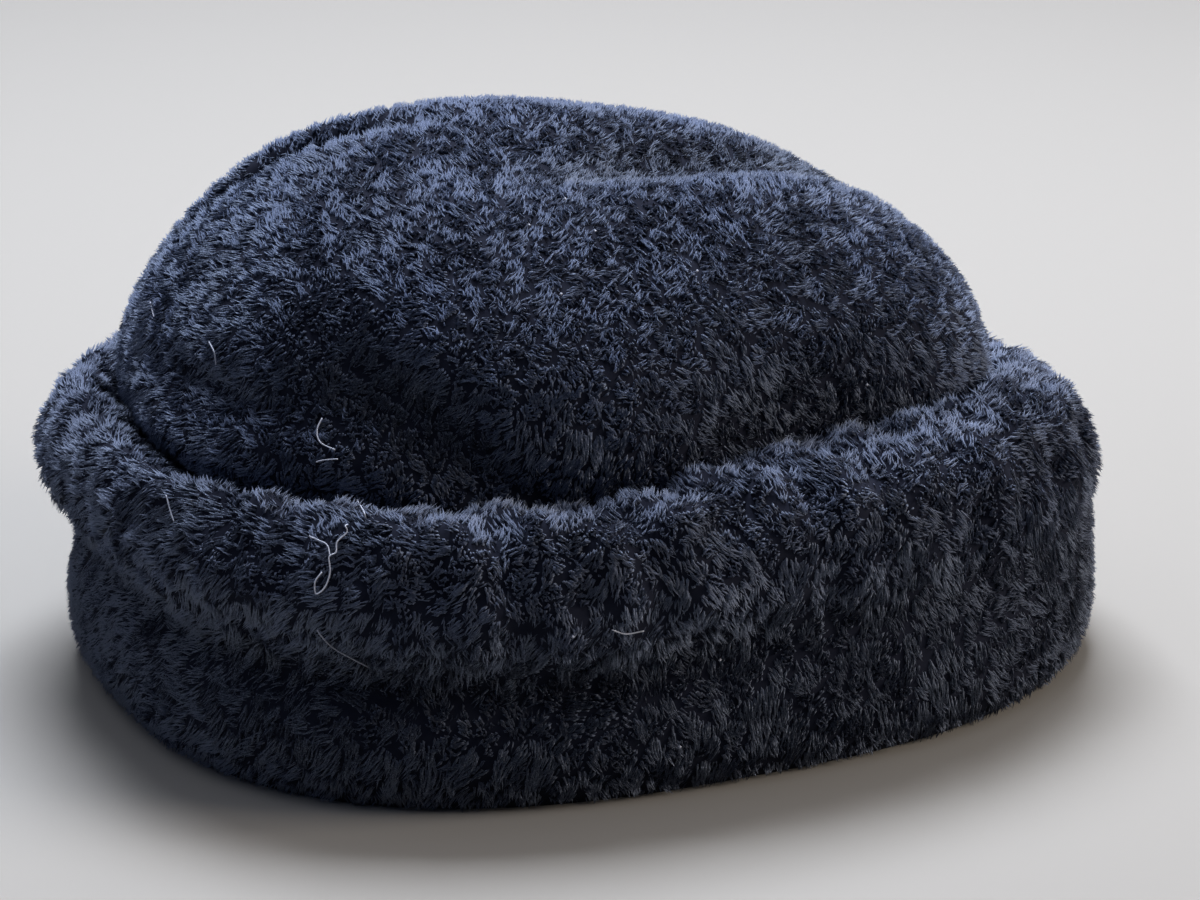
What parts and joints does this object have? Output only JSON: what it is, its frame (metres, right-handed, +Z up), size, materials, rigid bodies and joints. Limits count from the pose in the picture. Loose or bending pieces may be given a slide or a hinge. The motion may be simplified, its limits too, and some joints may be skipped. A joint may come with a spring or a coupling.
{
  "type": "cossack hat",
  "caption": "Soft cossack hat in black curly pile cloth: a rounded, slumped crown inside a thick doubled cuff turned up all round, open below for the head.",
  "frame": {"origin": "middle of the hat's box, on the surface that its rim rests on", "axes": "+Z up, -Y towards the wearer's front, +X towards the wearer's left; the head's length runs along Y"},
  "size_m": [0.225, 0.268, 0.1422],
  "materials": {
    "crown_pile": "curly pile cloth, matt with a soft sheen",
    "cuff_pile": "curly pile cloth, doubled, matt with a soft sheen"
  },
  "bodies": {
    "root": {"crown": "crown_pile", "cuff": "cuff_pile"}
  },
  "joints": []
}
